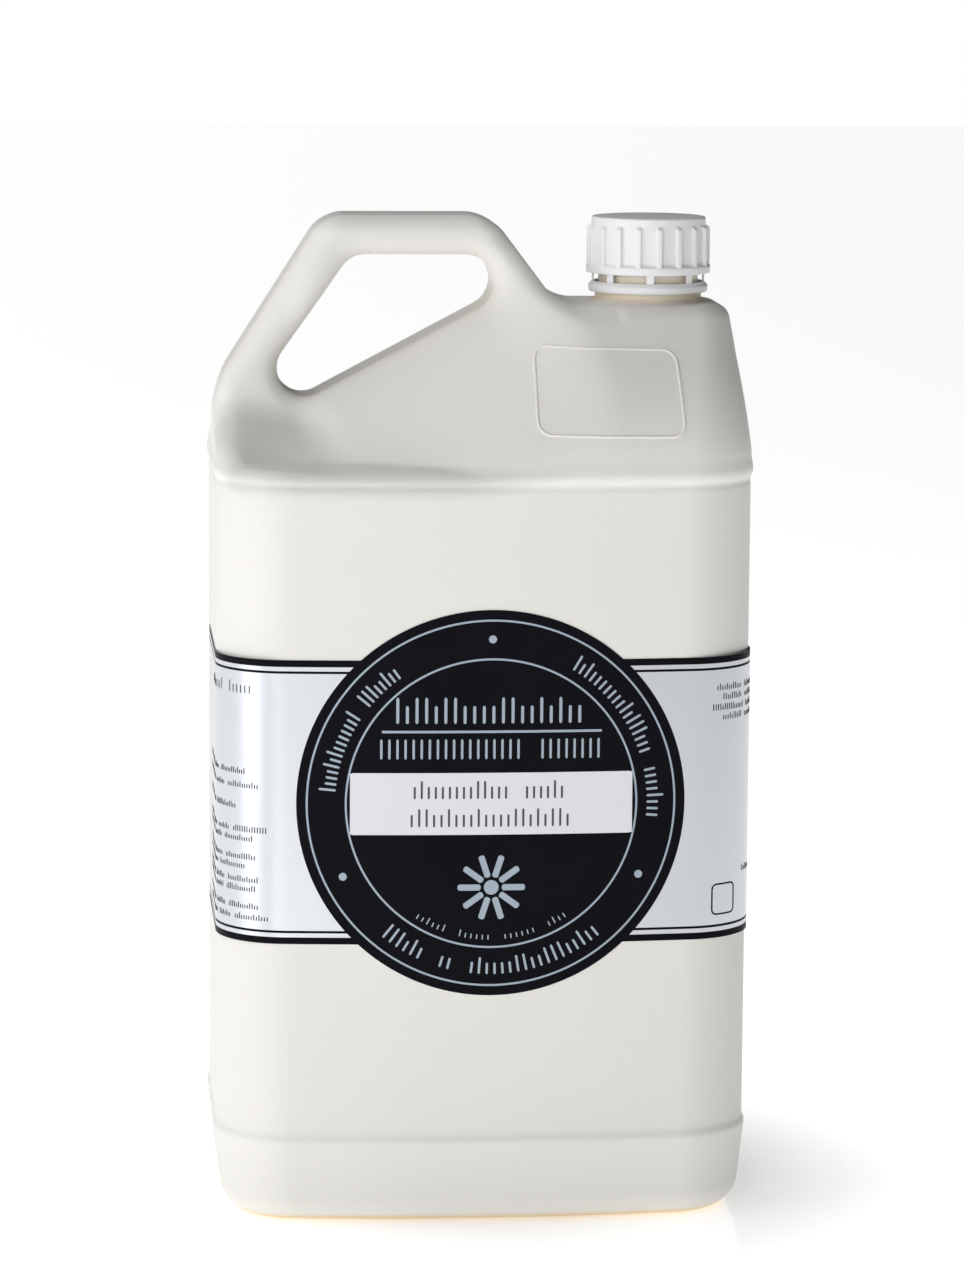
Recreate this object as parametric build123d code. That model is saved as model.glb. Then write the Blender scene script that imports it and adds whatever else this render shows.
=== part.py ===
"""Five-litre oil jerry can: blow-moulded bottle, screw cap with tamper band, liner, label and oil.

Millimetres. +Z is up, the front faces -Y, the handle is on the -X side and the neck on the +X side.
The origin is on the floor, under the middle of the bottle.
"""

from build123d import *
import math
import os

# Body of the bottle
WIDTH = 175.0  # across the straight sides
DEPTH = 126.0  # over the crowns of the front and back
CROWN = 6.0  # how far the front and back stand out at their middle
CORNER = 24.0  # plan radius of the four upright corners
WALL = 1.3
GROOVE_Z = 243.0  # foot of the shoulder ring
LEDGE_Z = 252.5  # top of the shoulder ring
RING_OUT = 0.8  # how far the ring and the base bead stand out from the sides
BEAD_Z = 28.0  # height of the base bead
FOOT_IN = 2.7  # how far the foot draws in below the bead
FOOT_ROUND = 5.0
PUSH_UP = 3.0  # height of the raised panel under the base
RIM = 8.0  # width of the standing rim

# Roof, handle and finger hole
DECK_Z = 298.0
HANDLE_Z = 327.0
GRIP_FOOT_Z = 270.3  # the diagonal grip leaves the left side here
GRIP_HEAD_X = -51.4  # and meets the top bar here
SLOPE_HEAD_X = 3.8  # the slope runs from the top bar
SLOPE_FOOT_X = 26.2  # down to the deck
SIDE_LEAN = 5.5  # how far the right side leans in from ledge to deck
ROOF = [  # height, half depth and plan corner radius of the roof's sections
    (LEDGE_Z - 4.0, 63.0, 23.5),
    (262.0, 58.5, 20.0),
    (276.0, 48.5, 16.5),
    (290.0, 35.0, 13.0),
    (302.0, 23.0, 9.5),
    (314.0, 13.0, 6.0),
    (HANDLE_Z + 4.0, 5.0, 2.5),
]
HANDLE_DEPTH = 28.0
HANDLE_ROUND = 5.0
HOLE_CENTRES = [(-57.3, 276.5), (-37.6, 304.6), (-4.5, 304.6)]
HOLE_ROUND = 9.2
DISH_ANGLE = 42.0  # slope of the finger dish round the hole

# Neck, about its own axis
NECK_X = 57.0
NECK_ROOT = 16.5  # radius under the thread
NECK_BASE = 17.6
NECK_BORE = 14.9
LIP_Z = 323.0
LOCK_BEAD = 18.3  # radius of the bead that holds the tamper band down
LOCK_BEAD_Z = 302.4
PITCH = 4.2
THREAD_HEIGHT = 1.1
THREAD_TURNS = 1.5
THREAD_Z = 311.0  # centre of the neck thread's lower end

# Cap and tamper band
CAP_TOP = 326.0
CAP_FOOT = 307.5
CAP_WALL_OUT = 18.9
CAP_WALL_IN = 17.95
CAP_DISC = 1.5
RIB_OUT = 20.4
RIBS = 18
FIRST_RIB = 14.0  # angle of the first rib from +X
RIB_WIDTH = 1.9
RIB_TOP = 323.8
FLANGE_OUT = 20.6
FLANGE_HEIGHT = 2.4
LINER = 1.5
BAND_FOOT = 301.2
BAND_OUT = 19.8
BAND_IN = 18.6
BAND_HEIGHT = 2.7
BRIDGES = 8
FIRST_BRIDGE = -94.4  # angle of the first bridge from +X
BRIDGE_ANGLE = 8.0
HAIRLINE = 0.05  # gap left where the bridges have snapped

# Label
LABEL = 0.2
LABEL_LOW = 94.0
LABEL_HIGH = 187.0
LABEL_END_Y = 22.0  # the band stops here on both sides
DISC_X = 0.6
DISC_Z = 140.2
DISC_R = 63.2

OIL_LEVEL = 253.5  # five litres


def plan(out, half_depth=DEPTH / 2, corner=CORNER, right=WIDTH / 2):
    """Rounded rectangle with crowned front and back; out moves its whole edge outwards."""
    crown = CROWN * 2 * half_depth / DEPTH
    x0, x1, y = -WIDTH / 2 - out, right + out, half_depth - crown + out
    middle = (x0 + x1) / 2
    with BuildSketch() as sketch:
        with BuildLine():
            ThreePointArc((x0, -y), (middle, -y - crown), (x1, -y))
            Line((x1, -y), (x1, y))
            ThreePointArc((x1, y), (middle, y + crown), (x0, y))
            Line((x0, y), (x0, -y))
        make_face()
        fillet(sketch.vertices(), corner + out)
    return sketch.sketch


def column(inset):
    """Upright body with its drawn-in foot and the shoulder ring."""
    top = LEDGE_Z - inset
    shaft = extrude(Pos(0, 0, BEAD_Z) * plan(-inset), GROOVE_Z - BEAD_Z)
    ring = extrude(Pos(0, 0, GROOVE_Z) * plan(RING_OUT - inset), top - GROOVE_Z)
    ring = fillet(ring.edges().group_by(Axis.Z)[-1], 2.5)
    lean = math.degrees(math.atan(FOOT_IN / BEAD_Z))
    foot = extrude(Pos(0, 0, BEAD_Z) * plan(RING_OUT - inset), inset - BEAD_Z, taper=lean)
    foot = fillet(foot.edges().group_by(Axis.Z)[0], FOOT_ROUND - inset)
    panel = plan(inset - RIM - FOOT_ROUND - FOOT_IN)
    push_up = extrude(panel, PUSH_UP + inset, taper=20)
    return shaft + ring + foot - push_up


def roof(inset):
    """Roof-shaped shoulder, lofted from the ledge up to the deck and the end of the handle."""
    sections = []
    for z, half_depth, corner in ROOF:
        lean = SIDE_LEAN * (z - LEDGE_Z) / (DECK_Z - LEDGE_Z)
        sections.append(Pos(0, 0, z) * plan(-inset, half_depth, corner, WIDTH / 2 - lean))
    return (loft(sections) & web(inset, roof_outline(), 2 * DEPTH)) - finger_dish(inset)


def roof_outline():
    """Front view of the roof as (x, z, corner radius), round by the finger hole and the deck."""
    lean = SIDE_LEAN / (DECK_Z - LEDGE_Z)
    low = LEDGE_Z - 4
    return [
        (-49.0, low, 0),
        (-66.0, 268.0, 0),
        (*HOLE_CENTRES[1], 0),
        (*HOLE_CENTRES[2], 0),
        (HOLE_CENTRES[2][0], HANDLE_Z, 0),
        (SLOPE_HEAD_X, HANDLE_Z, 15),
        (SLOPE_FOOT_X, DECK_Z, 16),
        (WIDTH / 2 - SIDE_LEAN, DECK_Z, 0),
        (WIDTH / 2 + 4 * lean, low, 0),
    ]


def handle_outline():
    """Front view of the handle as (x, z, corner radius): left side, diagonal grip, top bar and slope."""
    low = LEDGE_Z - 6
    return [
        (-WIDTH / 2, low, 0),
        (-WIDTH / 2, GRIP_FOOT_Z, 34),
        (GRIP_HEAD_X, HANDLE_Z, 14),
        (SLOPE_HEAD_X, HANDLE_Z, 15),
        (SLOPE_FOOT_X, DECK_Z, 16),
        (44.0, DECK_Z, 0),
        (44.0, low, 0),
    ]


def web(inset, outline, depth):
    """A front-view outline, drawn in by inset and given a depth about the middle plane."""
    with BuildSketch(Plane.XZ) as sketch:
        with BuildLine():
            FilletPolyline(*[(x, z) for x, z, r in outline], radius=[r for x, z, r in outline], close=True)
        make_face()
    face = offset(sketch.sketch, amount=-inset, kind=Kind.INTERSECTION) if inset else sketch.sketch
    return extrude(face, depth / 2, both=True)


def handle(inset):
    """Handle leg and top bar as one flat web with rounded outer edges."""
    flat = web(inset, handle_outline(), HANDLE_DEPTH - 2 * inset)
    faces = flat.faces().sort_by(Axis.Y)
    rims = faces[0].edges() + faces[-1].edges()
    outer = [e for e in rims if e.center().Z > LEDGE_Z and e.center().X < 36]
    return fillet(outer, HANDLE_ROUND - inset)


def hole_face(inset):
    """Front view of the finger hole."""
    with BuildSketch(Plane.XZ) as sketch:
        with BuildLine():
            Polyline(*HOLE_CENTRES, close=True)
        make_face()
        offset(amount=HOLE_ROUND + inset)
    return sketch.sketch


def finger_dish(inset):
    """Hollows that widen outwards from the finger hole, on the front and the back."""
    start = HANDLE_DEPTH / 2 - 0.5 - inset
    front = extrude(Pos(0, -start, 0) * hole_face(inset), DEPTH / 2, taper=-DISH_ANGLE)
    return front + mirror(front, about=Plane.XZ)


def bottle_form(inset):
    """The closed form of the bottle below its neck, drawn in by inset."""
    hole = extrude(hole_face(inset), DEPTH, both=True)
    return column(inset) + roof(inset) + handle(inset) - hole


def around_neck(outline):
    """Solid of revolution about the neck's axis from (radius, height) points."""
    with BuildSketch(Plane.XZ) as sketch:
        with BuildLine():
            Polyline(*outline, close=True)
        make_face()
    return Pos(NECK_X, 0, 0) * revolve(sketch.sketch, Axis.Z)


def thread(root, height, z, turns, base, crest):
    """Helical ridge on a round wall of radius root; a negative height makes it stand inwards."""
    sink = -0.3 if height > 0 else 0.3
    path = Helix(PITCH, PITCH * turns, root)
    start = Plane(origin=path @ 0, x_dir=(1, 0, 0), z_dir=path % 0)
    with BuildSketch(start) as sketch:
        with BuildLine():
            Polyline((sink, -base / 2), (height, -crest / 2), (height, crest / 2), (sink, base / 2), close=True)
        make_face()
    return Pos(NECK_X, 0, z) * sweep(sketch.sketch, path=path, is_frenet=True)


def neck():
    """Neck with its base, the bead that locks the tamper band, and the plain lip."""
    bead_top = LOCK_BEAD_Z + 1.2
    return around_neck([
        (0, DECK_Z - 6),
        (NECK_BASE, DECK_Z - 6),
        (NECK_BASE, LOCK_BEAD_Z - 0.3),
        (LOCK_BEAD, LOCK_BEAD_Z),
        (LOCK_BEAD, LOCK_BEAD_Z + 0.6),
        (NECK_ROOT, bead_top),
        (NECK_ROOT, LIP_Z - 0.6),
        (NECK_ROOT - 0.6, LIP_Z),
        (0, LIP_Z),
    ])


def cavity():
    """The hollow inside, with the bore of the neck."""
    bore = around_neck([(0, DECK_Z - 12), (NECK_BORE, DECK_Z - 12), (NECK_BORE, LIP_Z + 1), (0, LIP_Z + 1)])
    return bottle_form(WALL) + bore


def bottle_shell():
    ridge = thread(NECK_ROOT, THREAD_HEIGHT, THREAD_Z, THREAD_TURNS, 2.2, 1.0)
    return bottle_form(0) + neck() + ridge - cavity()


def oil_fill():
    """The oil fills the hollow up to its level."""
    below = Box(2 * WIDTH, 2 * DEPTH, OIL_LEVEL, align=(Align.CENTER, Align.CENTER, Align.MIN))
    return bottle_form(WALL) & below


def screw_cap():
    """Cap: top disc, skirt with grip ribs, foot flange and the inner thread."""
    shell = around_neck([
        (0, CAP_TOP),
        (CAP_WALL_OUT - 0.8, CAP_TOP),
        (CAP_WALL_OUT, CAP_TOP - 0.8),
        (CAP_WALL_OUT, CAP_FOOT + FLANGE_HEIGHT + 0.6),
        (FLANGE_OUT, CAP_FOOT + FLANGE_HEIGHT),
        (FLANGE_OUT, CAP_FOOT),
        (CAP_WALL_IN, CAP_FOOT),
        (CAP_WALL_IN, CAP_TOP - CAP_DISC),
        (0, CAP_TOP - CAP_DISC),
    ])
    foot = CAP_FOOT + FLANGE_HEIGHT / 2
    with BuildSketch(Plane.XZ) as side:
        with BuildLine():
            Polyline(
                (CAP_WALL_OUT - 0.5, foot),
                (RIB_OUT, foot),
                (RIB_OUT, RIB_TOP - 1.6),
                (CAP_WALL_OUT - 0.1, RIB_TOP),
                (CAP_WALL_OUT - 0.5, RIB_TOP),
                close=True,
            )
        make_face()
    rib = extrude(side.sketch, RIB_WIDTH / 2, both=True)
    for k in range(RIBS):
        shell += Pos(NECK_X, 0, 0) * Rot(0, 0, 360 / RIBS * k + FIRST_RIB) * rib
    return shell + thread(CAP_WALL_IN, -THREAD_HEIGHT, THREAD_Z + PITCH / 2, 1.25, 1.5, 0.7)


def cap_liner():
    """Foam wad that seals on the lip."""
    return around_neck([(0, LIP_Z), (CAP_WALL_IN - 0.35, LIP_Z), (CAP_WALL_IN - 0.35, LIP_Z + LINER), (0, LIP_Z + LINER)])


def tamper_band():
    """Ring left on the neck, with an inner lip caught under the neck's bead."""
    top = BAND_FOOT + BAND_HEIGHT
    return around_neck([
        (BAND_OUT - 0.5, BAND_FOOT),
        (BAND_OUT, BAND_FOOT + 0.5),
        (BAND_OUT, top - 0.5),
        (BAND_OUT - 0.5, top),
        (BAND_IN, top + 0.7),
        (CAP_WALL_IN, top + 0.7),
        (CAP_WALL_IN, top + 0.2),
        (BAND_IN, top - 0.2),
        (BAND_IN, BAND_FOOT + 0.9),
        (CAP_WALL_IN, BAND_FOOT + 0.6),
        (CAP_WALL_IN, BAND_FOOT),
    ])


def band_bridges():
    """Short posts between the band and the cap, snapped at their upper ends."""
    foot = BAND_FOOT + BAND_HEIGHT + 0.7
    ring = around_neck([
        (CAP_WALL_IN, foot),
        (BAND_IN, foot),
        (BAND_IN, CAP_FOOT - HAIRLINE),
        (CAP_WALL_IN, CAP_FOOT - HAIRLINE),
    ])
    reach = 3 * BAND_OUT
    half = reach * math.tan(math.radians(BRIDGE_ANGLE / 2))
    with BuildSketch() as sector:
        with BuildLine():
            Polyline((0, 0), (reach, -half), (reach, half), close=True)
        make_face()
    wedge = extrude(Pos(0, 0, foot - 1) * sector.sketch, 10)
    wedges = [Pos(NECK_X, 0, 0) * Rot(0, 0, FIRST_BRIDGE + 360 / BRIDGES * k) * wedge for k in range(BRIDGES)]
    return Compound(children=[(ring & w).solid() for w in wedges])


def body_label():
    """One die-cut sheet: a band round the front and sides with a round panel on the front."""
    height = LABEL_HIGH - LABEL_LOW
    tall = 2 * DISC_R + 10
    sheet = extrude(Pos(0, 0, DISC_Z - tall / 2) * (plan(LABEL) - plan(0)), tall)
    band = Pos(0, LABEL_END_Y - DEPTH, (LABEL_LOW + LABEL_HIGH) / 2) * Box(2 * WIDTH, 2 * DEPTH, height)
    disc = Pos(DISC_X, -DEPTH / 2, DISC_Z) * Rot(90, 0, 0) * Cylinder(DISC_R, DEPTH / 2)
    return sheet & (band + disc)


PARTS = {
    "bottle_shell": bottle_shell,
    "screw_cap": screw_cap,
    "tamper_band": tamper_band,
    "band_bridges": band_bridges,
    "cap_liner": cap_liner,
    "body_label": body_label,
    "oil_fill": oil_fill,
}

os.makedirs("parts", exist_ok=True)
for name, make in PARTS.items():
    export_step(make(), f"parts/{name}.step")
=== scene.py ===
import math

import bmesh
import bpy
import numpy as np
from mathutils import Matrix, Quaternion, Vector


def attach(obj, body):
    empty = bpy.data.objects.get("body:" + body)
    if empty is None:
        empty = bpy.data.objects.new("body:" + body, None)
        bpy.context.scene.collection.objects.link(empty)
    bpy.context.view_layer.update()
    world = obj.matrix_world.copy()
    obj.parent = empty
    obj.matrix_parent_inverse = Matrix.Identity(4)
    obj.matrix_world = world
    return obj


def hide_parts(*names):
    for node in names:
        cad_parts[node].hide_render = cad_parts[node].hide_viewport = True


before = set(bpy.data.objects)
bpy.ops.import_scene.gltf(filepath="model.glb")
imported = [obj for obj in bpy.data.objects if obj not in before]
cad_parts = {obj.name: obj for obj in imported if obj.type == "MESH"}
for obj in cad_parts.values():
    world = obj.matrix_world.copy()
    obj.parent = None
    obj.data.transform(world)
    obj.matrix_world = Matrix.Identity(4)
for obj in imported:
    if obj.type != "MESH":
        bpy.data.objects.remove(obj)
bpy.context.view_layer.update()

# ---------------------------------------------------------------------------------------------
# Bottle shell
# One blow-moulded piece of creamy white polyethylene: a straight crowned column on a drawn-in
# foot, a shoulder ring, and a roof-shaped top that carries the hollow diagonal handle and neck.
# ---------------------------------------------------------------------------------------------
MM = 0.001
HALF_WIDTH = 87.5
HALF_DEPTH = 63.0
CROWN = 6.0
CORNER = 24.0
WALL = 1.3
FRONT_ARC = (HALF_WIDTH ** 2 + CROWN ** 2) / (2 * CROWN)
BEAD_Z = 28.0
FOOT_IN = 3.2
FOOT_ROUND = 9.0
PUSH_UP = 3.0
PANEL_IN = 15.7
GROOVE_Z = 242.8
RING_Z = 245.8
RING_OUT = 0.8
BEAD_SOFT = 1.6
RING_SOFT_LOW = 1.9
RING_SOFT_HIGH = 3.2
GROOVE_SOFT = 0.9
GROOVE_DEEP = 0.35
LEDGE_Z = 252.5
ROOF_START = 245.5
ROOF_CURVE = 36.0
CORNER_FADE = 0.25
SIDE_LEAN = 0.121
DECK_Z = 298.0
HANDLE_TOP = 327.0
HANDLE_HALF = 14.0
HANDLE_EDGE = 6.5
HANDLE_BEND = 6.0
GRIP_FOOT = (-87.5, 270.3)
GRIP_HEAD = (-51.4, HANDLE_TOP)
SLOPE_HEAD = (3.8, HANDLE_TOP)
SLOPE_FOOT = (25.3, DECK_Z)
DECK_START = 18.0
DECK_CORNER = 4.2
SIDE_EDGE = 5.3
WEB_LOW = 247.0
WEB_END = 44.0
WEB_FILLET = 5.0
POCKET_LIP = 8.0
POCKET_SHOULDER = 14.0
POCKET_FLOOR_EDGE = 7.0
POCKET_RISE = 3.0
POCKET_TILT = 0.26
POCKET_FLAT_FROM = 44.0
POCKET_WALL_FOOT = (-49.0, 252.0)
POCKET_WALL_HEAD = (-66.0, 268.0)
POCKET_BACK = -61.0
POCKET_CORNER = 10.0
HOLE_CORNERS = ((-57.3, 276.5), (-37.6, 304.6), (-4.5, 304.6))
HOLE_ROUND = 9.2
HOLE_EDGE = 6.0
DISH_START = 13.5
DISH_SPREAD = 1.11
DISH_LIP = 10.0
DISH_LOW = 248.0
NECK_X = 57.0
NECK_BASE = 17.6
NECK_FILLET = 2.2


def meet(a, b, r):
    """Where two forms overlap, with their shared edge rounded."""
    corner = np.hypot(np.maximum(a + r, 0), np.maximum(b + r, 0))
    return np.minimum(np.maximum(a + r, b + r), 0) + corner - r


def join(a, b, r):
    """Two forms in one, with a fillet where they touch."""
    return -meet(-a, -b, r)


def upright(x, y, half_depth, corner, right=HALF_WIDTH, tilt=1.0):
    """Distance outside a rounded rectangle with a crowned front and back."""
    middle = (right - HALF_WIDTH) / 2
    half = (right + HALF_WIDTH) / 2
    crown = CROWN * half_depth / HALF_DEPTH
    arc = (half ** 2 + crown ** 2) / (2 * crown)
    front = np.hypot(x - middle, y + arc - half_depth) - arc
    return meet(np.abs(x - middle) - half, front * tilt, corner)


def slanted(x, z, px, pz, qx, qz):
    """Distance to the left of the line from p up to q."""
    run, rise = qx - px, qz - pz
    return ((z - pz) * run - (x - px) * rise) / math.hypot(run, rise)


def swell(z):
    """How far the sides stand out at a height: foot, base bead, groove and shoulder ring."""
    foot = np.clip((BEAD_Z - z) / BEAD_Z, 0, 1)
    bead = np.exp(-(np.maximum(z - BEAD_Z, 0) / BEAD_SOFT) ** 2)
    ring = np.exp(-((z - RING_Z) / np.where(z < RING_Z, RING_SOFT_LOW, RING_SOFT_HIGH)) ** 2)
    groove = np.exp(-((z - GROOVE_Z) / GROOVE_SOFT) ** 2)
    return RING_OUT * (bead + ring) - FOOT_IN * foot - GROOVE_DEEP * groove


def top_line(x, z):
    """Front view of the handle and deck, as a distance outside their outline."""
    bar = meet(slanted(x, z, *GRIP_FOOT, *GRIP_HEAD), z - HANDLE_TOP, HANDLE_BEND)
    bar = meet(bar, slanted(x, z, *SLOPE_HEAD, *SLOPE_FOOT), HANDLE_BEND)
    return join(bar, meet(z - DECK_Z, DECK_START - x, 1.0), HANDLE_BEND)


def hole(x, z):
    """Distance outside the finger hole, a triangle with very round corners."""
    gap = np.full(np.shape(x), 1e9)
    inside = np.full(np.shape(x), True)
    for (ax, az), (bx, bz) in zip(HOLE_CORNERS, HOLE_CORNERS[1:] + HOLE_CORNERS[:1]):
        run, rise = bx - ax, bz - az
        along = np.clip(((x - ax) * run + (z - az) * rise) / (run ** 2 + rise ** 2), 0, 1)
        gap = np.minimum(gap, np.hypot(x - ax - along * run, z - az - along * rise))
        inside = inside & ((z - az) * run - (x - ax) * rise <= 0)
    return np.where(inside, -gap, gap) - HOLE_ROUND


def trunk(x, y, z):
    """Foot, column and shoulder in one skin, before the handle pocket is cut."""
    rise = np.maximum(z - ROOF_START, 0)
    drop = np.where(rise < ROOF_CURVE, rise ** 2 / (2 * ROOF_CURVE), rise - ROOF_CURVE / 2)
    tilt = 1 / np.hypot(1, np.clip(rise / ROOF_CURVE, 0, 1))
    depth = np.maximum(HALF_DEPTH - drop, 3.0)
    corner = np.clip(CORNER - CORNER_FADE * rise, 2.0, np.minimum(CORNER, depth))
    right = HALF_WIDTH - SIDE_LEAN * np.maximum(z - LEDGE_Z, 0)
    panel = meet(upright(x, y, HALF_DEPTH, CORNER) + PANEL_IN, z - PUSH_UP, 1.5)
    form = meet(upright(x, y, depth, corner, right, tilt) - swell(z), -z, FOOT_ROUND)
    return meet(form, -panel, 2.0)


def bottle(x, y, z):
    """The closed form of the bottle, as a distance outside its surface, in millimetres."""
    y = np.abs(y)
    gap = hole(x, z)
    ledge = LEDGE_Z + POCKET_RISE * np.clip((-x - 50.0) / 30.0, 0, 1)
    ledge = ledge + POCKET_TILT * np.maximum(POCKET_FLAT_FROM - y, 0)
    wall = -slanted(x, z, *POCKET_WALL_FOOT, *POCKET_WALL_HEAD)
    wall = join(wall, x - POCKET_BACK, POCKET_CORNER)
    lip = POCKET_LIP + (POCKET_SHOULDER - POCKET_LIP) * np.clip((z - ledge) / 12.0, 0, 1)
    form = meet(trunk(x, y, z), -meet(wall, ledge - z, POCKET_FLOOR_EDGE), lip)
    dish = (DISH_START + DISH_SPREAD * gap - y) / math.hypot(1, DISH_SPREAD)
    form = meet(form, -meet(dish, DISH_LOW - z, 1.0), DISH_LIP)
    line = top_line(x, z)
    form = meet(form, line, np.where(x > WEB_END + 1, DECK_CORNER, HANDLE_EDGE))
    line = meet(line, -HALF_WIDTH - swell(z) - x, SIDE_EDGE)
    web = meet(line, y - HANDLE_HALF, HANDLE_EDGE)
    web = meet(web, np.maximum(WEB_LOW - z, x - WEB_END), 1.0)
    form = np.maximum(join(form, web, WEB_FILLET), line)
    form = meet(form, -gap, HOLE_EDGE)
    neck = meet(np.hypot(x - NECK_X, y) - NECK_BASE, z - 300.0, 0.5)
    return join(form, meet(neck, 290.0 - z, 0.5), NECK_FILLET)


def slopes(form, p):
    """Gradient of a form at points p."""
    step = 0.02
    grad = np.empty_like(p)
    for axis in range(3):
        shift = np.zeros(3)
        shift[axis] = step
        ahead, behind = p + shift, p - shift
        grad[:, axis] = (form(*ahead.T) - form(*behind.T)) / (2 * step)
    return grad


def skin(form, xs, ys, zs):
    """Closed quad mesh over a form's zero surface: one point for each grid cell it crosses."""
    grid = [xs, ys, zs]
    value = form(*np.meshgrid(xs, ys, zs, indexing="ij"))
    solid = value < 0
    cells = [len(g) - 1 for g in grid]
    total = np.zeros(cells + [3])
    hits = np.zeros(cells)
    for axis in range(3):
        others = [a for a in range(3) if a != axis]
        low = np.take(value, range(cells[axis]), axis)
        high = np.take(value, range(1, cells[axis] + 1), axis)
        crossed = (low < 0) != (high < 0)
        share = np.where(crossed, low / np.where(crossed, low - high, 1), 0)
        place = np.stack(np.meshgrid(*[g[:n] if a == axis else g
                                       for a, (g, n) in enumerate(zip(grid, cells))],
                                     indexing="ij"), -1)
        width = np.diff(grid[axis]).reshape([-1 if a == axis else 1 for a in range(3)])
        place[..., axis] += share * width
        place *= crossed[..., None]
        for da in (0, 1):
            for db in (0, 1):
                cut = [slice(None)] * 3
                cut[others[0]] = slice(da, da + cells[others[0]])
                cut[others[1]] = slice(db, db + cells[others[1]])
                total += place[tuple(cut)]
                hits += crossed[tuple(cut)]
    used = hits > 0
    number = np.full(cells, -1)
    number[used] = np.arange(used.sum())
    points = total[used] / hits[used][:, None]
    faces = []
    for axis in range(3):
        b, c = (axis + 1) % 3, (axis + 2) % 3
        low = np.take(solid, range(cells[axis]), axis)
        high = np.take(solid, range(1, cells[axis] + 1), axis)
        for mask, order in ((low & ~high, 1), (high & ~low, -1)):
            at = np.argwhere(mask)
            ring = []
            for db, dc in ((-1, -1), (0, -1), (0, 0), (-1, 0)):
                near = at.copy()
                near[:, b] += db
                near[:, c] += dc
                ring.append(number[tuple(near.T)])
            faces.append(np.stack(ring[::order], 1))
    for _ in range(4):
        grad = slopes(form, points)
        size = np.maximum((grad ** 2).sum(1), 0.2)
        points -= np.clip(form(*points.T) / size, -1, 1)[:, None] * grad
    return points, np.concatenate(faces)


def mesh_object(name, points, faces):
    """Smooth-shaded mesh object from points in millimetres."""
    mesh = bpy.data.meshes.new(name)
    mesh.from_pydata([tuple(p) for p in np.asarray(points) * MM], [], [tuple(f) for f in faces])
    mesh.validate()
    mesh.update()
    mesh.shade_smooth()
    obj = bpy.data.objects.new(name, mesh)
    bpy.context.scene.collection.objects.link(obj)
    return obj


def spread(*runs):
    """Grid lines from runs of (start, end, step), without doubles."""
    lines = [np.linspace(a, b, max(2, round((b - a) / s) + 1)) for a, b, s in runs]
    return np.unique(np.round(np.concatenate(lines), 6))


across = spread((-90.6, 90.6, 1.5))
deep = spread((-66.2, 66.2, 1.5))
tall = spread((-2.4, 12, 1.4), (12, 24, 2.4), (24, 32, 1.0), (32, 236, 8.0), (236, 256, 0.9),
              (256, 331, 1.4))
outer = skin(bottle, across, deep, tall)
coarse = (spread((-92, 92, 4.0)), spread((-68, 68, 4.0)), spread((-4, 240, 6.0), (240, 332, 4.0)))
inner = skin(lambda x, y, z: bottle(x, y, z) + WALL, *coarse)
shell = mesh_object("jerry_can_shell", np.concatenate([outer[0], inner[0]]),
                    np.concatenate([outer[1], inner[1][:, ::-1] + len(outer[0])]))


def turned(name, outline, steps=120):
    """Solid turned about the neck's axis, from points of radius, height and corner softness."""
    line = []
    for i, (r, z, soft) in enumerate(outline):
        here = np.array((r, z), float)
        if soft == 0:
            line.append(here)
            continue
        ends = []
        for other in (outline[i - 1], outline[(i + 1) % len(outline)]):
            way = np.array(other[:2]) - here
            ends.append(here + way / np.linalg.norm(way) * soft)
        for t in np.linspace(0, 1, 5):
            line.append((1 - t) ** 2 * ends[0] + 2 * t * (1 - t) * here + t * t * ends[1])
    points, rings, faces = [], [], []
    for r, z in line:
        start = len(points)
        angles = np.arange(steps if r > 1e-6 else 1) * 2 * math.pi / steps
        points += [(NECK_X + r * math.cos(t), r * math.sin(t), z) for t in angles]
        rings.append([start + (k if r > 1e-6 else 0) for k in range(steps)])
    for low, high in zip(rings, rings[1:] + rings[:1]):
        for k in range(steps):
            n = (k + 1) % steps
            corners = dict.fromkeys((low[k], low[n], high[n], high[k]))
            if len(corners) > 2:
                faces.append(tuple(corners))
    return outward(mesh_object(name, points, faces))


def outward(obj, sharp=38):
    """Turns all faces outwards and keeps edges crisp past an angle."""
    mesh = bmesh.new()
    mesh.from_mesh(obj.data)
    bmesh.ops.recalc_face_normals(mesh, faces=mesh.faces)
    mesh.to_mesh(obj.data)
    mesh.free()
    obj.data.set_sharp_from_angle(angle=math.radians(sharp))
    return obj


def settle(obj):
    """Turns an object's modifiers into plain mesh."""
    graph = bpy.context.evaluated_depsgraph_get()
    mesh = bpy.data.meshes.new_from_object(obj.evaluated_get(graph))
    obj.modifiers.clear()
    obj.data = mesh


def weld(base, part, operation="UNION"):
    """Joins a closed solid to another, or cuts it away."""
    step = base.modifiers.new("weld", "BOOLEAN")
    step.solver = "MANIFOLD"
    step.operation = operation
    step.object = part
    settle(base)
    bpy.data.objects.remove(part)


def ridge(name, radius, height, start, turns, pitch=4.2):
    """Screw thread: a tapered helical ridge, outwards or, with a negative height, inwards."""
    sink = -0.3 if height > 0 else 0.3
    steps = round(48 * turns)
    points, faces = [], []
    for k in range(steps + 1):
        angle = 2 * math.pi * turns * k / steps
        share = min(1, 6 * k / steps, 6 * (steps - k) / steps)
        tip = sink + (height - sink) * (0.15 + 0.85 * share)
        for out, up in ((sink, -1.1), (tip, -0.5), (tip, 0.5), (sink, 1.1)):
            reach = radius + out
            rise = start + pitch * angle / (2 * math.pi) + up * (0.3 + 0.7 * share)
            points.append((NECK_X + reach * math.cos(angle), reach * math.sin(angle), rise))
    for k in range(steps):
        for c in range(4):
            d = (c + 1) % 4
            faces.append((4 * k + c, 4 * k + d, 4 * k + 4 + d, 4 * k + 4 + c))
    faces += [(3, 2, 1, 0), tuple(4 * steps + c for c in range(4))]
    return outward(mesh_object(name, points, faces))


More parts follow.
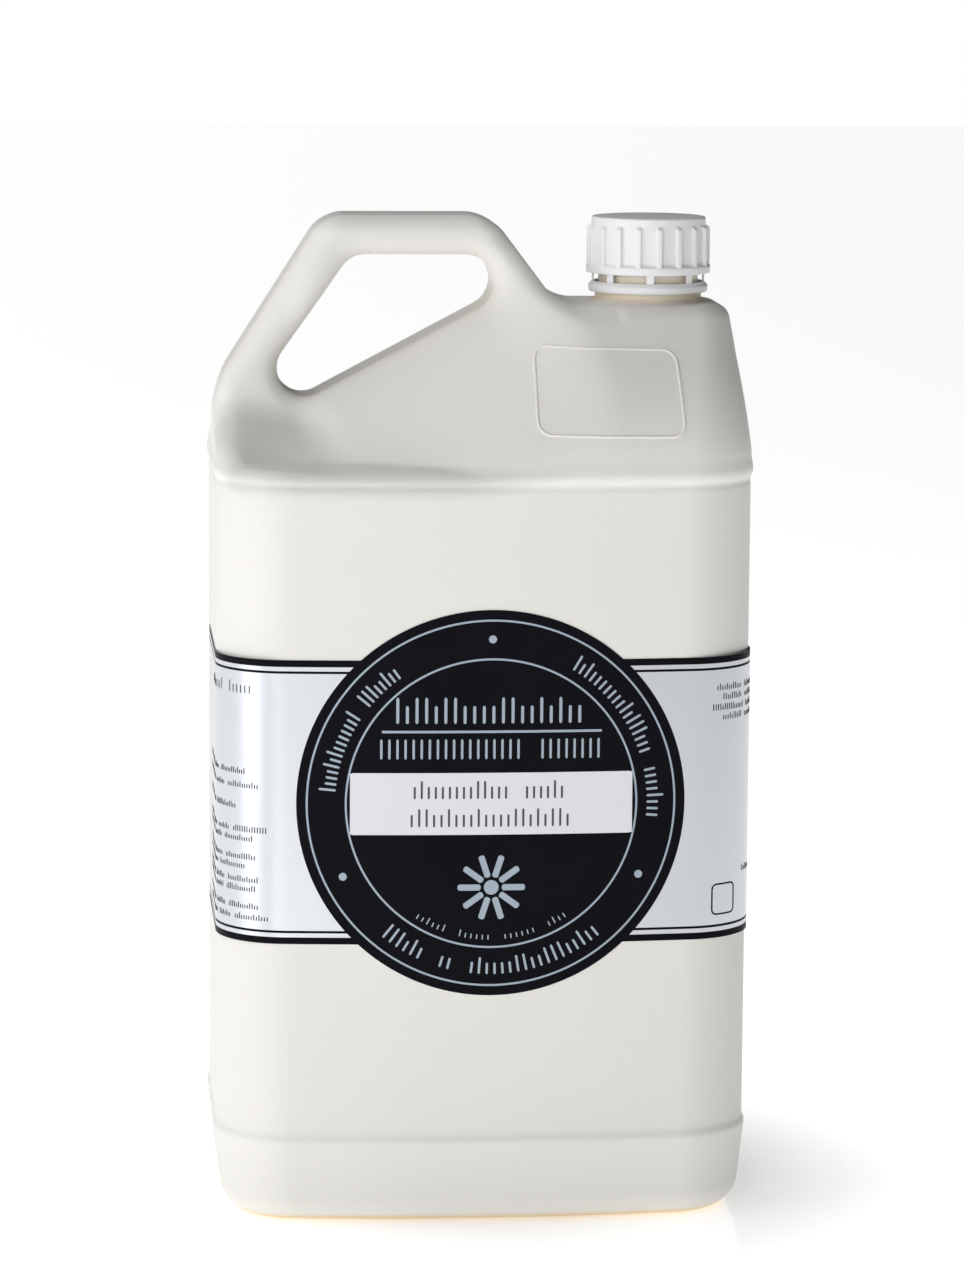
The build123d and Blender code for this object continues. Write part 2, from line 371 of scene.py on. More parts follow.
LIP_Z = 323.0
THREAD_ROOT = 16.5
LOCK_BEAD = 18.3
BORE = 14.9
weld(shell, turned("neck", [
    (0, 297.5, 0), (NECK_BASE + 0.05, 297.5, 0), (NECK_BASE + 0.05, 302.1, 0),
    (LOCK_BEAD, 302.4, 0.2), (LOCK_BEAD, 303.0, 0.3), (THREAD_ROOT, 303.6, 0.4),
    (THREAD_ROOT, LIP_Z, 0.6), (0, LIP_Z, 0)]))
weld(shell, turned("bore", [(0, 285, 0), (BORE, 285, 0), (BORE, 330, 0), (0, 330, 0)]),
     "DIFFERENCE")
weld(shell, ridge("neck_thread", THREAD_ROOT, 1.1, 311.0, 1.5))

FRAME_CORNERS = ((15.5, 259.0), (63.0, 258.5), (61.5, 285.0), (16.0, 286.0))
FRAME_SOFT = 5.0
FRAME_BEAD = 0.55


def raised_frame():
    """Thin round bead moulded on the front of the shoulder, as a rounded rectangle."""
    line = []
    for i, corner in enumerate(FRAME_CORNERS):
        here = np.array(corner)
        ends = []
        for other in (FRAME_CORNERS[i - 1], FRAME_CORNERS[(i + 1) % 4]):
            way = np.array(other) - here
            ends.append(here + way / np.linalg.norm(way) * FRAME_SOFT)
        for t in np.linspace(0, 1, 10):
            line.append((1 - t) ** 2 * ends[0] + 2 * t * (1 - t) * here + t * t * ends[1])
        after = np.array(FRAME_CORNERS[(i + 1) % 4])
        away = after + (here - after) / np.linalg.norm(here - after) * FRAME_SOFT
        for t in np.linspace(0, 1, 14)[1:-1]:
            line.append(ends[1] + (away - ends[1]) * t)
    x, z = np.array(line).T
    near, far = np.full(len(x), -70.0), np.full(len(x), -5.0)
    for _ in range(40):
        y = (near + far) / 2
        inside = bottle(x, y, z) < 0
        far, near = np.where(inside, y, far), np.where(inside, near, y)
    path = np.stack([x, y, z], 1)
    normal = slopes(bottle, path)
    normal /= np.linalg.norm(normal, axis=1)[:, None]
    ahead = np.roll(path, -1, 0) - np.roll(path, 1, 0)
    side = np.cross(ahead / np.linalg.norm(ahead, axis=1)[:, None], normal)
    points, faces = [], []
    count = len(path)
    for k in range(count):
        for c in range(8):
            angle = c * math.pi / 4
            points.append(path[k] + FRAME_BEAD * (math.cos(angle) * side[k]
                          + (math.sin(angle) - 0.25) * normal[k]))
    for k in range(count):
        n = (k + 1) % count
        for c in range(8):
            d = (c + 1) % 8
            faces.append((8 * k + c, 8 * k + d, 8 * n + d, 8 * n + c))
    return outward(mesh_object("raised_frame", points, faces))


weld(shell, raised_frame())
shell.data.set_sharp_from_angle(angle=math.radians(45))


def plastic(name, colour, rough, metallic=0.0, drift=0.03, uneven=0.05, bump=0.05,
            grain=900.0, cloud=18.0, coat=0.0, shine=0.5):
    """Material with slow colour drift, uneven gloss and a fine moulded or coated grain."""
    mat = bpy.data.materials.new(name)
    mat.use_nodes = True
    nodes, links = mat.node_tree.nodes, mat.node_tree.links
    shader = nodes["Principled BSDF"]
    shader.inputs["Metallic"].default_value = metallic
    shader.inputs["Coat Weight"].default_value = coat
    shader.inputs["Specular IOR Level"].default_value = shine
    place = nodes.new("ShaderNodeTexCoord")
    slow = nodes.new("ShaderNodeTexNoise")
    slow.inputs["Scale"].default_value = cloud
    slow.inputs["Detail"].default_value = 3
    links.new(place.outputs["Object"], slow.inputs["Vector"])
    tint = nodes.new("ShaderNodeMix")
    tint.data_type = "RGBA"
    tint.inputs["A"].default_value = (*[c * (1 - drift) for c in colour], 1)
    tint.inputs["B"].default_value = (*[min(1, c * (1 + drift)) for c in colour], 1)
    links.new(slow.outputs["Fac"], tint.inputs["Factor"])
    links.new(tint.outputs["Result"], shader.inputs["Base Color"])
    gloss = nodes.new("ShaderNodeMapRange")
    gloss.inputs["To Min"].default_value = rough - uneven
    gloss.inputs["To Max"].default_value = rough + uneven
    links.new(slow.outputs["Fac"], gloss.inputs["Value"])
    links.new(gloss.outputs["Result"], shader.inputs["Roughness"])
    fine = nodes.new("ShaderNodeTexNoise")
    fine.inputs["Scale"].default_value = grain
    fine.inputs["Detail"].default_value = 4
    links.new(place.outputs["Object"], fine.inputs["Vector"])
    relief = nodes.new("ShaderNodeBump")
    relief.inputs["Strength"].default_value = bump
    relief.inputs["Distance"].default_value = 0.0004
    links.new(fine.outputs["Fac"], relief.inputs["Height"])
    links.new(relief.outputs["Normal"], shader.inputs["Normal"])
    return mat


def fit(obj, material, slot, body, *nodes):
    """Gives a piece its material and body, and hides the CAD nodes it stands for. The slot
    argument is not used.
    """
    obj.data.materials.clear()
    obj.data.materials.append(material)
    if nodes:
        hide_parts(*nodes)
    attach(obj, body)


def paint_glow_and_foot_shade(mat, colour):
    """Paints light into the plastic's colour: an amber glow of light through the plastic round
    the neck's base, and an amber line of painted contact shade and glow at the foot.
    """
    nodes, links = mat.node_tree.nodes, mat.node_tree.links
    shader = nodes["Principled BSDF"]
    plain = shader.inputs["Base Color"].links[0].from_socket
    place = nodes.new("ShaderNodeTexCoord")
    split = nodes.new("ShaderNodeSeparateXYZ")
    links.new(place.outputs["Object"], split.inputs["Vector"])
    foot = nodes.new("ShaderNodeMapRange")
    foot.inputs["From Max"].default_value = 0.003
    foot.inputs["To Min"].default_value = 0.95
    foot.inputs["To Max"].default_value = 0.0
    links.new(split.outputs["Z"], foot.inputs["Value"])
    away = nodes.new("ShaderNodeVectorMath")
    away.operation = "DISTANCE"
    away.inputs[1].default_value = (NECK_X * MM, 0, 0.2985)
    links.new(place.outputs["Object"], away.inputs[0])
    neck = nodes.new("ShaderNodeMapRange")
    neck.inputs["From Min"].default_value = 0.0177
    neck.inputs["From Max"].default_value = 0.0194
    neck.inputs["To Min"].default_value = 0.36
    neck.inputs["To Max"].default_value = 0.0
    links.new(away.outputs["Value"], neck.inputs["Value"])
    most = nodes.new("ShaderNodeMath")
    most.operation = "MAXIMUM"
    links.new(foot.outputs["Result"], most.inputs[0])
    links.new(neck.outputs["Result"], most.inputs[1])
    # painted amber glow and contact shade, mixed into the plastic's own colour
    painted_glow = nodes.new("ShaderNodeMix")
    painted_glow.data_type = "RGBA"
    painted_glow.inputs["B"].default_value = (*colour, 1)
    links.new(most.outputs["Value"], painted_glow.inputs["Factor"])
    links.new(plain, painted_glow.inputs["A"])
    links.new(painted_glow.outputs["Result"], shader.inputs["Base Color"])


creamy = plastic("creamy_polyethylene", (0.815, 0.797, 0.755), 0.42, bump=0.14, shine=0.4)
# painted amber glow round the neck's base and painted contact shade at the foot
paint_glow_and_foot_shade(creamy, (0.76, 0.53, 0.20))
fit(shell, creamy, "milky_hdpe", "bottle", "bottle_shell")

# ---------------------------------------------------------------------------------------------
# Oil
# About five litres of pale gold massage oil. It fills the hollow up to the shoulder, with a
# little air above. Its warm glow through the plastic is painted into the shell's colour, round
# the neck and at the foot.
# ---------------------------------------------------------------------------------------------
OIL_LEVEL = 253.5
oil = mesh_object("massage_oil_fill", *skin(
    lambda x, y, z: meet(bottle(x, y, z) + WALL + 0.4, z - OIL_LEVEL, 0.8), *coarse))
amber = plastic("pale_gold_oil", (0.78, 0.55, 0.20), 0.08, bump=0.01, coat=0.2)
fit(oil, amber, "clear_oil", "bottle", "oil_fill")

# ---------------------------------------------------------------------------------------------
# Label
# One die-cut sheet of silver film round the front and both sides, with a round black panel in
# front. It is screen printed in black and silver ink, and its words are plain strokes here.
# ---------------------------------------------------------------------------------------------
FILM = 0.2
LABEL_LOW = 94.0
LABEL_HIGH = 187.0
LABEL_END_Y = 22.0
DISC_X = 0.6
DISC_Z = 140.2
DISC_R = 63.2
CORNER_X = HALF_WIDTH - CORNER
ARC_Y = FRONT_ARC - HALF_DEPTH
CORNER_Y = ARC_Y - math.sqrt((FRONT_ARC - CORNER) ** 2 - CORNER_X ** 2)
TURN = math.asin(CORNER_X / (FRONT_ARC - CORNER))
FRONT_RUN = FRONT_ARC * TURN
CORNER_RUN = FRONT_RUN + CORNER * (math.pi / 2 - TURN)
LABEL_RUN = CORNER_RUN + LABEL_END_Y - CORNER_Y


def wrap(u, v, lift):
    """Place on the bottle's side: u runs round it from the front's middle, v is the height."""
    s = np.abs(u)
    bend = np.where(s < FRONT_RUN, s / FRONT_ARC, TURN + (s - FRONT_RUN) / CORNER)
    bend = np.minimum(bend, math.pi / 2)
    front = s < FRONT_RUN
    reach = np.where(front, FRONT_ARC, CORNER) + lift
    x = np.where(front, 0, CORNER_X) + reach * np.sin(bend)
    y = np.where(front, ARC_Y, CORNER_Y) - reach * np.cos(bend)
    y = y + np.maximum(s - CORNER_RUN, 0)
    return np.stack([np.sign(u) * x, y, v + 0 * u], -1)


def printed(name, patches, low, high):
    """Thin closed sheets on the bottle's side, each between two rails of (u, v) points."""
    points, faces = [], []
    for first, second, ring in patches:
        first, second = np.array(first, float), np.array(second, float)
        count, start = len(first), len(points)
        for rail, lift in ((first, high), (second, high), (second, low), (first, low)):
            points += list(wrap(rail[:, 0], rail[:, 1], lift))
        for k in range(count if ring else count - 1):
            n = (k + 1) % count
            for c in range(4):
                d = (c + 1) % 4
                faces.append([start + r * count + i for r, i in ((c, k), (d, k), (d, n), (c, n))])
        if not ring:
            faces.append([start + r * count for r in range(4)])
            faces.append([start + r * count + count - 1 for r in (3, 2, 1, 0)])
    return outward(mesh_object(name, points, faces), 20)


def strip(u0, u1, low, high, step=1.5):
    """Plain strip round the bottle."""
    u = np.linspace(u0, u1, max(2, round((u1 - u0) / step) + 1))
    return [(a, high) for a in u], [(a, low) for a in u], False


def disc(u, v, radius, count=96):
    """Round patch; it starts and ends just short of its edge so that no face is folded."""
    turn = np.linspace(math.pi - 0.02, 0.02, count)
    across = u + radius * np.cos(turn)
    up = radius * np.sin(turn)
    return list(zip(across, v + up)), list(zip(across, v - up)), False


def ring(radius, width, count=160):
    """Thin circle about the middle of the round panel."""
    turn = np.arange(count) * 2 * math.pi / count
    rails = [[(DISC_X + r * math.cos(t), DISC_Z + r * math.sin(t)) for t in turn]
             for r in (radius + width / 2, radius - width / 2)]
    return rails[0], rails[1], True


def outline_box(u0, u1, v0, v1, soft, width):
    """Rounded rectangle drawn as a thin line."""
    mid, high = (u0 + u1) / 2, (v0 + v1) / 2
    rails = []
    for grow in (0, -width):
        half_u, half_v, round_by = (u1 - u0) / 2 + grow, (v1 - v0) / 2 + grow, soft + grow
        rail = []
        for t in np.arange(96) * 2 * math.pi / 96:
            c, d = math.cos(t), math.sin(t)
            flat_u, flat_v = half_u - round_by, half_v - round_by
            reach = min(half_u / max(abs(c), 1e-9), half_v / max(abs(d), 1e-9))
            a, b = reach * c, reach * d
            if abs(a) > flat_u and abs(b) > flat_v:
                da, db = abs(a) - flat_u, abs(b) - flat_v
                shrink = round_by / math.hypot(da, db)
                a = math.copysign(flat_u + da * shrink, a)
                b = math.copysign(flat_v + db * shrink, b)
            rail.append((mid + a, high + b))
        rails.append(rail)
    return rails[0], rails[1], True


def film_sheet():
    """Outline of the whole sheet: the band with the round panel's top and bottom."""
    edge = math.sqrt(DISC_R ** 2 - (LABEL_HIGH - DISC_Z) ** 2)
    u = np.unique(np.concatenate([
        np.linspace(-LABEL_RUN, LABEL_RUN, 200), DISC_X + edge * np.linspace(-1, 1, 80)]))
    bulge = np.sqrt(np.maximum(DISC_R ** 2 - (u - DISC_X) ** 2, 0))
    high = np.maximum(LABEL_HIGH, DISC_Z + bulge)
    low = np.minimum(LABEL_LOW, DISC_Z - bulge)
    return list(zip(u, high)), list(zip(u, low)), False


label = printed("label_film", [film_sheet()], 0.01, FILM)
silver = plastic("silver_film", (0.60, 0.62, 0.65), 0.30, metallic=1.0, drift=0.02,
                 uneven=0.03, bump=0.02, cloud=30.0)
fit(label, silver, "printed_film", "bottle", "body_label")

BORDER = 2.2
LINE_AT = 3.6
LINE = 0.8
black = plastic("black_ink", (0.005, 0.005, 0.008), 0.42, drift=0.25, uneven=0.05, bump=0.04,
                cloud=60.0, shine=0.04)
fit(printed("label_black_disc", [disc(DISC_X, DISC_Z, DISC_R)], FILM - 0.05, FILM + 0.035),
    black, "printed_film", "bottle")
panels = []
for v in (LABEL_LOW + BORDER / 2, LABEL_HIGH - BORDER / 2):
    panels.append(strip(-LABEL_RUN, LABEL_RUN, v - BORDER / 2, v + BORDER / 2))
for v in (LABEL_LOW + LINE_AT + LINE / 2, LABEL_HIGH - LINE_AT - LINE / 2):
    panels.append(strip(-LABEL_RUN, LABEL_RUN, v - LINE / 2, v + LINE / 2))
fit(printed("label_black_borders", panels, FILM - 0.05, FILM + 0.02), black, "printed_film",
    "bottle")

RULE_Z = DISC_Z + 23.6
silver_ink = plastic("silver_ink", (0.36, 0.43, 0.50), 0.42, metallic=0.25, drift=0.06,
                     bump=0.03, cloud=80.0)
lines = [ring(59.8, 0.65), ring(47.2, 0.65), strip(-35.0, 36.2, RULE_Z - 0.4, RULE_Z + 0.4)]
for turn in (90.0, -26.4, 206.4):
    lines.append(disc(DISC_X + 53.7 * math.cos(math.radians(turn)),
                      DISC_Z + 53.7 * math.sin(math.radians(turn)), 1.3, 24))
lines.append(disc(DISC_X, DISC_Z - 27.5, 2.4, 32))
fit(printed("label_silver_lines", lines, FILM, FILM + 0.07), silver_ink, "printed_film",
    "bottle")

PANEL_HALF = 10.15
PANEL_R = 46.9
pale = plastic("pale_panel_ink", (0.76, 0.76, 0.80), 0.40, drift=0.02, bump=0.02)
u = np.linspace(-PANEL_R, PANEL_R, 90)[1:-1]
half = np.minimum(PANEL_HALF, np.sqrt(PANEL_R ** 2 - u ** 2))
fit(printed("label_pale_panel", [(list(zip(DISC_X + u, DISC_Z + half)),
                                  list(zip(DISC_X + u, DISC_Z - half)), False)],
            FILM, FILM + 0.06), pale, "printed_film", "bottle")


def block(name, x0, x1, half, z0, z1, soft, drop=0.0):
    """Softened bar at a distance from the axis; its outer top edge may slant down by drop."""
    points = [(x, y, z - (drop if x == x1 and z == z1 else 0))
              for x in (x0, x1) for y in (-half, half) for z in (z0, z1)]
    faces = [(0, 1, 3, 2), (4, 6, 7, 5), (0, 4, 5, 1), (2, 3, 7, 6), (0, 2, 6, 4), (1, 5, 7, 3)]
    bar = outward(mesh_object(name, points, faces), 60)
    edge = bar.modifiers.new("softened", "BEVEL")
    edge.width = soft * MM
    edge.segments = 3
    settle(bar)
    return bar


def node_tree(name, inputs):
    """Empty geometry node tree with named inputs; returns the tree, its inputs and its output."""
    tree = bpy.data.node_groups.new(name, "GeometryNodeTree")
    tree.interface.new_socket("Geometry", in_out="INPUT", socket_type="NodeSocketGeometry")
    for label_text, kind in inputs:
        tree.interface.new_socket(label_text, in_out="INPUT", socket_type="NodeSocket" + kind)
    tree.interface.new_socket("Geometry", in_out="OUTPUT", socket_type="NodeSocketGeometry")
    return tree, tree.nodes.new("NodeGroupInput"), tree.nodes.new("NodeGroupOutput")


def stamp(obj, tree, values):
    """Runs a tree on an object with these inputs, and keeps the plain mesh."""
    step = obj.modifiers.new(tree.name, "NODES")
    step.node_group = tree
    sockets = {s.name: s.identifier for s in tree.interface.items_tree if s.in_out == "INPUT"}
    for key, value in values.items():
        step[sockets[key]] = value
    settle(obj)


mark_tree, given, out = node_tree("print_strokes", [
    ("Stroke", "Object"), ("Size", "Float"), ("Ink", "Material")])
piece = mark_tree.nodes.new("GeometryNodeObjectInfo")
turn_of = mark_tree.nodes.new("GeometryNodeInputNamedAttribute")
turn_of.data_type = "FLOAT_VECTOR"
turn_of.inputs["Name"].default_value = "turn"
size_of = mark_tree.nodes.new("GeometryNodeInputNamedAttribute")
size_of.data_type = "FLOAT_VECTOR"
size_of.inputs["Name"].default_value = "stretch"
scale = mark_tree.nodes.new("ShaderNodeVectorMath")
scale.operation = "SCALE"
place = mark_tree.nodes.new("GeometryNodeInstanceOnPoints")
real = mark_tree.nodes.new("GeometryNodeRealizeInstances")
ink = mark_tree.nodes.new("GeometryNodeSetMaterial")
links = mark_tree.links
links.new(given.outputs["Stroke"], piece.inputs["Object"])
links.new(given.outputs["Geometry"], place.inputs["Points"])
links.new(piece.outputs["Geometry"], place.inputs["Instance"])
links.new(turn_of.outputs["Attribute"], place.inputs["Rotation"])
links.new(size_of.outputs["Attribute"], scale.inputs[0])
links.new(given.outputs["Size"], scale.inputs["Scale"])
links.new(scale.outputs["Vector"], place.inputs["Scale"])
links.new(place.outputs["Instances"], real.inputs["Geometry"])
links.new(real.outputs["Geometry"], ink.inputs["Geometry"])
links.new(given.outputs["Ink"], ink.inputs["Material"])
links.new(ink.outputs["Geometry"], out.inputs["Geometry"])

rng = np.random.default_rng(7)


def words(counts, height, even=False):
    """Strokes for words of so many letters: (share of the line's width, height) pairs."""
    slots = []
    for word in counts:
        for _ in range(2 * word):
            slots.append(1.0 if even else float(rng.choice((0.68, 0.68, 1.0))))
        slots += [0.0, 0.0]
    slots = slots[:-2]
    return [((k + 0.5) / len(slots), s * height) for k, s in enumerate(slots) if s]


def straight(counts, u0, u1, base, height, even=False):
    """A straight line of strokes standing on a base height."""
    return [(u0 + share * (u1 - u0), base + tall / 2, 0.0, tall)
            for share, tall in words(counts, height, even)]


def curved(counts, start, end, radius, height, inward=False):
    """A line of strokes round the panel's middle, from one bearing to another, in degrees."""
    rows = []
    for share, tall in words(counts, height):
        turn = math.radians(start + share * (end - start))
        reach = radius + (tall - height) / 2 * (-1 if inward else 1)
        rows.append((DISC_X + reach * math.cos(turn), DISC_Z + reach * math.sin(turn),
                     turn - math.pi / 2, tall))
    return rows


STROKE_SIDES = 12
STROKE_TURNS = [(k + 0.5) * 2 * math.pi / STROKE_SIDES for k in range(STROKE_SIDES)]
STROKE_FACES = [tuple(range(STROKE_SIDES)), tuple(range(STROKE_SIDES, 2 * STROKE_SIDES))]
STROKE_FACES += [(k, (k + 1) % STROKE_SIDES, STROKE_SIDES + (k + 1) % STROKE_SIDES,
                  STROKE_SIDES + k) for k in range(STROKE_SIDES)]


def strokes(name, rows, lift, thick, width, material):
    """Puts one stroke at each (u, v, lean, height) on the bottle's side."""
    rows = np.array(rows)
    here = wrap(rows[:, 0], rows[:, 1], lift)
    ahead = wrap(rows[:, 0] + 0.05, rows[:, 1], lift) - wrap(rows[:, 0] - 0.05, rows[:, 1], lift)
    points = mesh_object(name, here, [])
    turns, stretch = [], []
    for (u, v, lean, tall), way in zip(rows, ahead):
        along = Vector(way).normalized()
        up = Vector((0, 0, 1))
        right = along * math.cos(lean) + up * math.sin(lean)
        rise = up * math.cos(lean) - along * math.sin(lean)
        axes = Matrix((right, rise, along.cross(up))).transposed()
        turns.append(axes.to_euler())
        stretch.append((width, tall, thick))
    for key, rows_of in (("turn", turns), ("stretch", stretch)):
        layer = points.data.attributes.new(key, "FLOAT_VECTOR", "POINT")
        layer.data.foreach_set("vector", np.array(rows_of, np.float32).ravel())
    stroke = mesh_object("stroke", [(0.5 * math.cos(t), 0.5 * math.sin(t) * 0.2
                                     + math.copysign(0.4, math.sin(t)), z)
                                    for z in (-0.5, 0.5) for t in STROKE_TURNS],
                         STROKE_FACES)
    outward(stroke)
    stamp(points, mark_tree, {"Stroke": stroke, "Size": 1.0, "Ink": material})
    bpy.data.objects.remove(stroke)
    fit(points, material, "printed_film", "bottle")


title = straight([10], -31.5, 30.5, DISC_Z + 26.2, 8.6)
strokes("label_title_strokes", title, FILM + 0.04, 0.06, 1.0, silver_ink)
second = straight([9, 4], -36.5, 36.5, DISC_Z + 14.6, 6.6, even=True)
second += curved([7, 4], 176, 125, 53.4, 5.6)
second += curved([9, 4], 60, -6, 53.4, 5.6)
second += curved([3, 1, 9], 230, 310, 53.4, 5.6, inward=True)
strokes("label_ring_strokes", second, FILM + 0.04, 0.06, 0.8, silver_ink)
small = curved([3, 3, 3, 2], 236, 304, 43.6, 2.4, inward=True)
strokes("label_small_strokes", small, FILM + 0.04, 0.06, 0.42, silver_ink)
petals = []
for k in range(10):
    turn = 2 * math.pi * k / 10
    petals.append((DISC_X + 7.2 * math.cos(turn), DISC_Z - 27.5 + 7.2 * math.sin(turn),
                   turn - math.pi / 2, 7.6))
strokes("label_blossom", petals, FILM + 0.04, 0.06, 2.1, silver_ink)
dark = plastic("dark_grey_ink", (0.06, 0.055, 0.07), 0.45, drift=0.1, bump=0.03)
body_lines = straight([7, 3], -25.5, 24.5, DISC_Z + 1.6, 6.0)
body_lines += straight([11], -26.5, 26.5, DISC_Z - 7.6, 6.0)
strokes("label_panel_strokes", body_lines, FILM + 0.07, 0.05, 0.72, dark)

notes = straight([6, 3], -112, -77.5, 175.5, 3.8)
for base, end, letters in ((149, -80, 6), (144.5, -75, 8), (137.5, -84, 4), (130, -72, 9),
                           (127, -77, 7), (121, -76, 7), (118, -80, 5), (113.5, -75, 8),
                           (110.5, -76, 8), (104.8, -75, 9), (101.2, -71.5, 10)):
    notes += straight([letters, 6, 4, 7], -128, end, base, 2.0)
for base, start, letters in ((175.8, 74.5, 6), (172.6, 77, 5), (169.2, 73, 8), (166, 77, 5)):
    notes += straight([letters, 5, 6], start, 112, base, 2.2)
notes += straight([5, 6], 88, 112, 114.5, 2.2)
strokes("label_note_strokes", notes, FILM + 0.02, 0.05, 0.34, black)
fit(printed("label_box", [outline_box(73.5, 83.5, 101.5, 112.0, 2.0, 0.55)], FILM - 0.05,
            FILM + 0.045), black, "printed_film", "bottle")

# ---------------------------------------------------------------------------------------------
# Tamper band and its bridges
# Thin ring of white polypropylene left on the neck under the cap. Eight short posts joined it
# to the cap until the cap was first turned.
# ---------------------------------------------------------------------------------------------
white = plastic("white_polypropylene", (0.88, 0.88, 0.895), 0.36, bump=0.04, cloud=60.0)
BAND_LOW = 301.2
BAND_OUT = 19.8
BAND_IN = 18.6
BAND_LIP = 17.95
BRIDGES = 8
FIRST_BRIDGE = -94.4
band = turned("tamper_band_ring", [
    (BAND_OUT - 0.5, BAND_LOW, 0.2), (BAND_OUT, BAND_LOW + 0.5, 0.3),
    (BAND_OUT, BAND_LOW + 2.2, 0.35), (BAND_OUT - 0.5, BAND_LOW + 2.7, 0.2),
    (BAND_IN, BAND_LOW + 3.4, 0), (BAND_LIP, BAND_LOW + 3.4, 0), (BAND_LIP, BAND_LOW + 2.9, 0),
    (BAND_IN, BAND_LOW + 2.5, 0), (BAND_IN, BAND_LOW + 0.9, 0), (BAND_LIP, BAND_LOW + 0.6, 0),
    (BAND_LIP, BAND_LOW, 0)])
fit(band, white, "white_cap", "band", "tamper_band")

ring_tree, given, out = node_tree("round_the_neck", [
    ("Piece", "Object"), ("Count", "Int"), ("First Angle", "Float"), ("Axis", "Vector"),
    ("Finish", "Material")])
dots = ring_tree.nodes.new("GeometryNodePoints")
index = ring_tree.nodes.new("GeometryNodeInputIndex")
pitch_of = ring_tree.nodes.new("ShaderNodeMath")
pitch_of.operation = "DIVIDE"
pitch_of.inputs[0].default_value = 2 * math.pi
angle_of = ring_tree.nodes.new("ShaderNodeMath")
angle_of.operation = "MULTIPLY_ADD"
turn_to = ring_tree.nodes.new("ShaderNodeCombineXYZ")
piece = ring_tree.nodes.new("GeometryNodeObjectInfo")
place = ring_tree.nodes.new("GeometryNodeInstanceOnPoints")
real = ring_tree.nodes.new("GeometryNodeRealizeInstances")
shift = ring_tree.nodes.new("GeometryNodeTransform")
finish = ring_tree.nodes.new("GeometryNodeSetMaterial")
links = ring_tree.links
links.new(given.outputs["Count"], dots.inputs["Count"])
links.new(given.outputs["Count"], pitch_of.inputs[1])
links.new(index.outputs["Index"], angle_of.inputs[0])
links.new(pitch_of.outputs["Value"], angle_of.inputs[1])
links.new(given.outputs["First Angle"], angle_of.inputs[2])
links.new(angle_of.outputs["Value"], turn_to.inputs["Z"])
links.new(given.outputs["Piece"], piece.inputs["Object"])
links.new(dots.outputs["Points"], place.inputs["Points"])
links.new(piece.outputs["Geometry"], place.inputs["Instance"])
links.new(turn_to.outputs["Vector"], place.inputs["Rotation"])
links.new(place.outputs["Instances"], real.inputs["Geometry"])
links.new(real.outputs["Geometry"], shift.inputs["Geometry"])
links.new(given.outputs["Axis"], shift.inputs["Translation"])
links.new(shift.outputs["Geometry"], finish.inputs["Geometry"])
links.new(given.outputs["Finish"], finish.inputs["Material"])
links.new(finish.outputs["Geometry"], out.inputs["Geometry"])


def round_neck(name, master, count, first, material):
    """Copies of one bar spaced evenly round the neck."""
    obj = mesh_object(name, [(0, 0, 0)], [])
    stamp(obj, ring_tree, {"Piece": master, "Count": count, "First Angle": math.radians(first),
                           "Axis": (NECK_X * MM, 0, 0), "Finish": material})
    bpy.data.objects.remove(master)
    return obj


post = block("post", 17.98, 18.58, 1.28, 304.65, 307.42, 0.12)
posts = round_neck("tamper_posts", post, BRIDGES, FIRST_BRIDGE, white)
fit(posts, white, "white_cap", "band", "band_bridges")

# ---------------------------------------------------------------------------------------------
# Screw cap and its liner
# Moulded white polypropylene cap with grip ribs, a foot flange and an inner thread. A foam
# wad pressed into its top seals on the lip of the neck.
# ---------------------------------------------------------------------------------------------
CAP_TOP = 326.0
CAP_FOOT = 307.5
CAP_OUT = 18.9
CAP_IN = 17.95
CAP_DISC = 1.5
FLANGE_OUT = 20.6
RIBS = 18
RIB_OUT = 20.4
RIB_TOP = 323.8
FIRST_RIB = 14.0
cap = turned("ribbed_screw_cap", [
    (0, CAP_TOP, 0), (CAP_OUT, CAP_TOP, 0.8), (CAP_OUT, CAP_FOOT + 3.2, 0.5),
    (FLANGE_OUT, CAP_FOOT + 2.4, 0.4), (FLANGE_OUT, CAP_FOOT, 0.25), (CAP_IN, CAP_FOOT, 0.15),
    (CAP_IN, CAP_TOP - CAP_DISC, 0), (0, CAP_TOP - CAP_DISC, 0)], 144)
rib = block("rib", CAP_OUT - 0.6, RIB_OUT, 0.95, CAP_FOOT + 1.2, RIB_TOP, 0.45, 1.4)
weld(cap, round_neck("ribs", rib, RIBS, FIRST_RIB, white))
weld(cap, ridge("cap_thread", CAP_IN, -1.1, 313.1, 1.25))
cap.data.set_sharp_from_angle(angle=math.radians(38))
fit(cap, white, "white_cap", "cap", "screw_cap")

foam = plastic("pale_foam", (0.78, 0.78, 0.75), 0.8, bump=0.3, grain=2500.0)
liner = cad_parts["cap_liner"]
liner.data.materials.clear()
liner.data.materials.append(foam)

# ---------------------------------------------------------------------------------------------
# Stage, lights and camera
# A white gloss table in a white studio: a tall soft light at the left, a soft one in front,
# and little light from the right, so that the right side falls off to grey.
# ---------------------------------------------------------------------------------------------
floor_mesh = bpy.data.meshes.new("floor")
floor_mesh.from_pydata([(-8, -8, 0), (8, -8, 0), (8, 8, 0), (-8, 8, 0)], [], [(0, 1, 2, 3)])
floor = bpy.data.objects.new("floor", floor_mesh)
bpy.context.scene.collection.objects.link(floor)
floor_mat = bpy.data.materials.new("white_gloss_floor")
floor_mat.use_nodes = True
floor_shader = floor_mat.node_tree.nodes["Principled BSDF"]
floor_shader.inputs["Base Color"].default_value = (0.94, 0.94, 0.94, 1)
floor_shader.inputs["Roughness"].default_value = 0.12
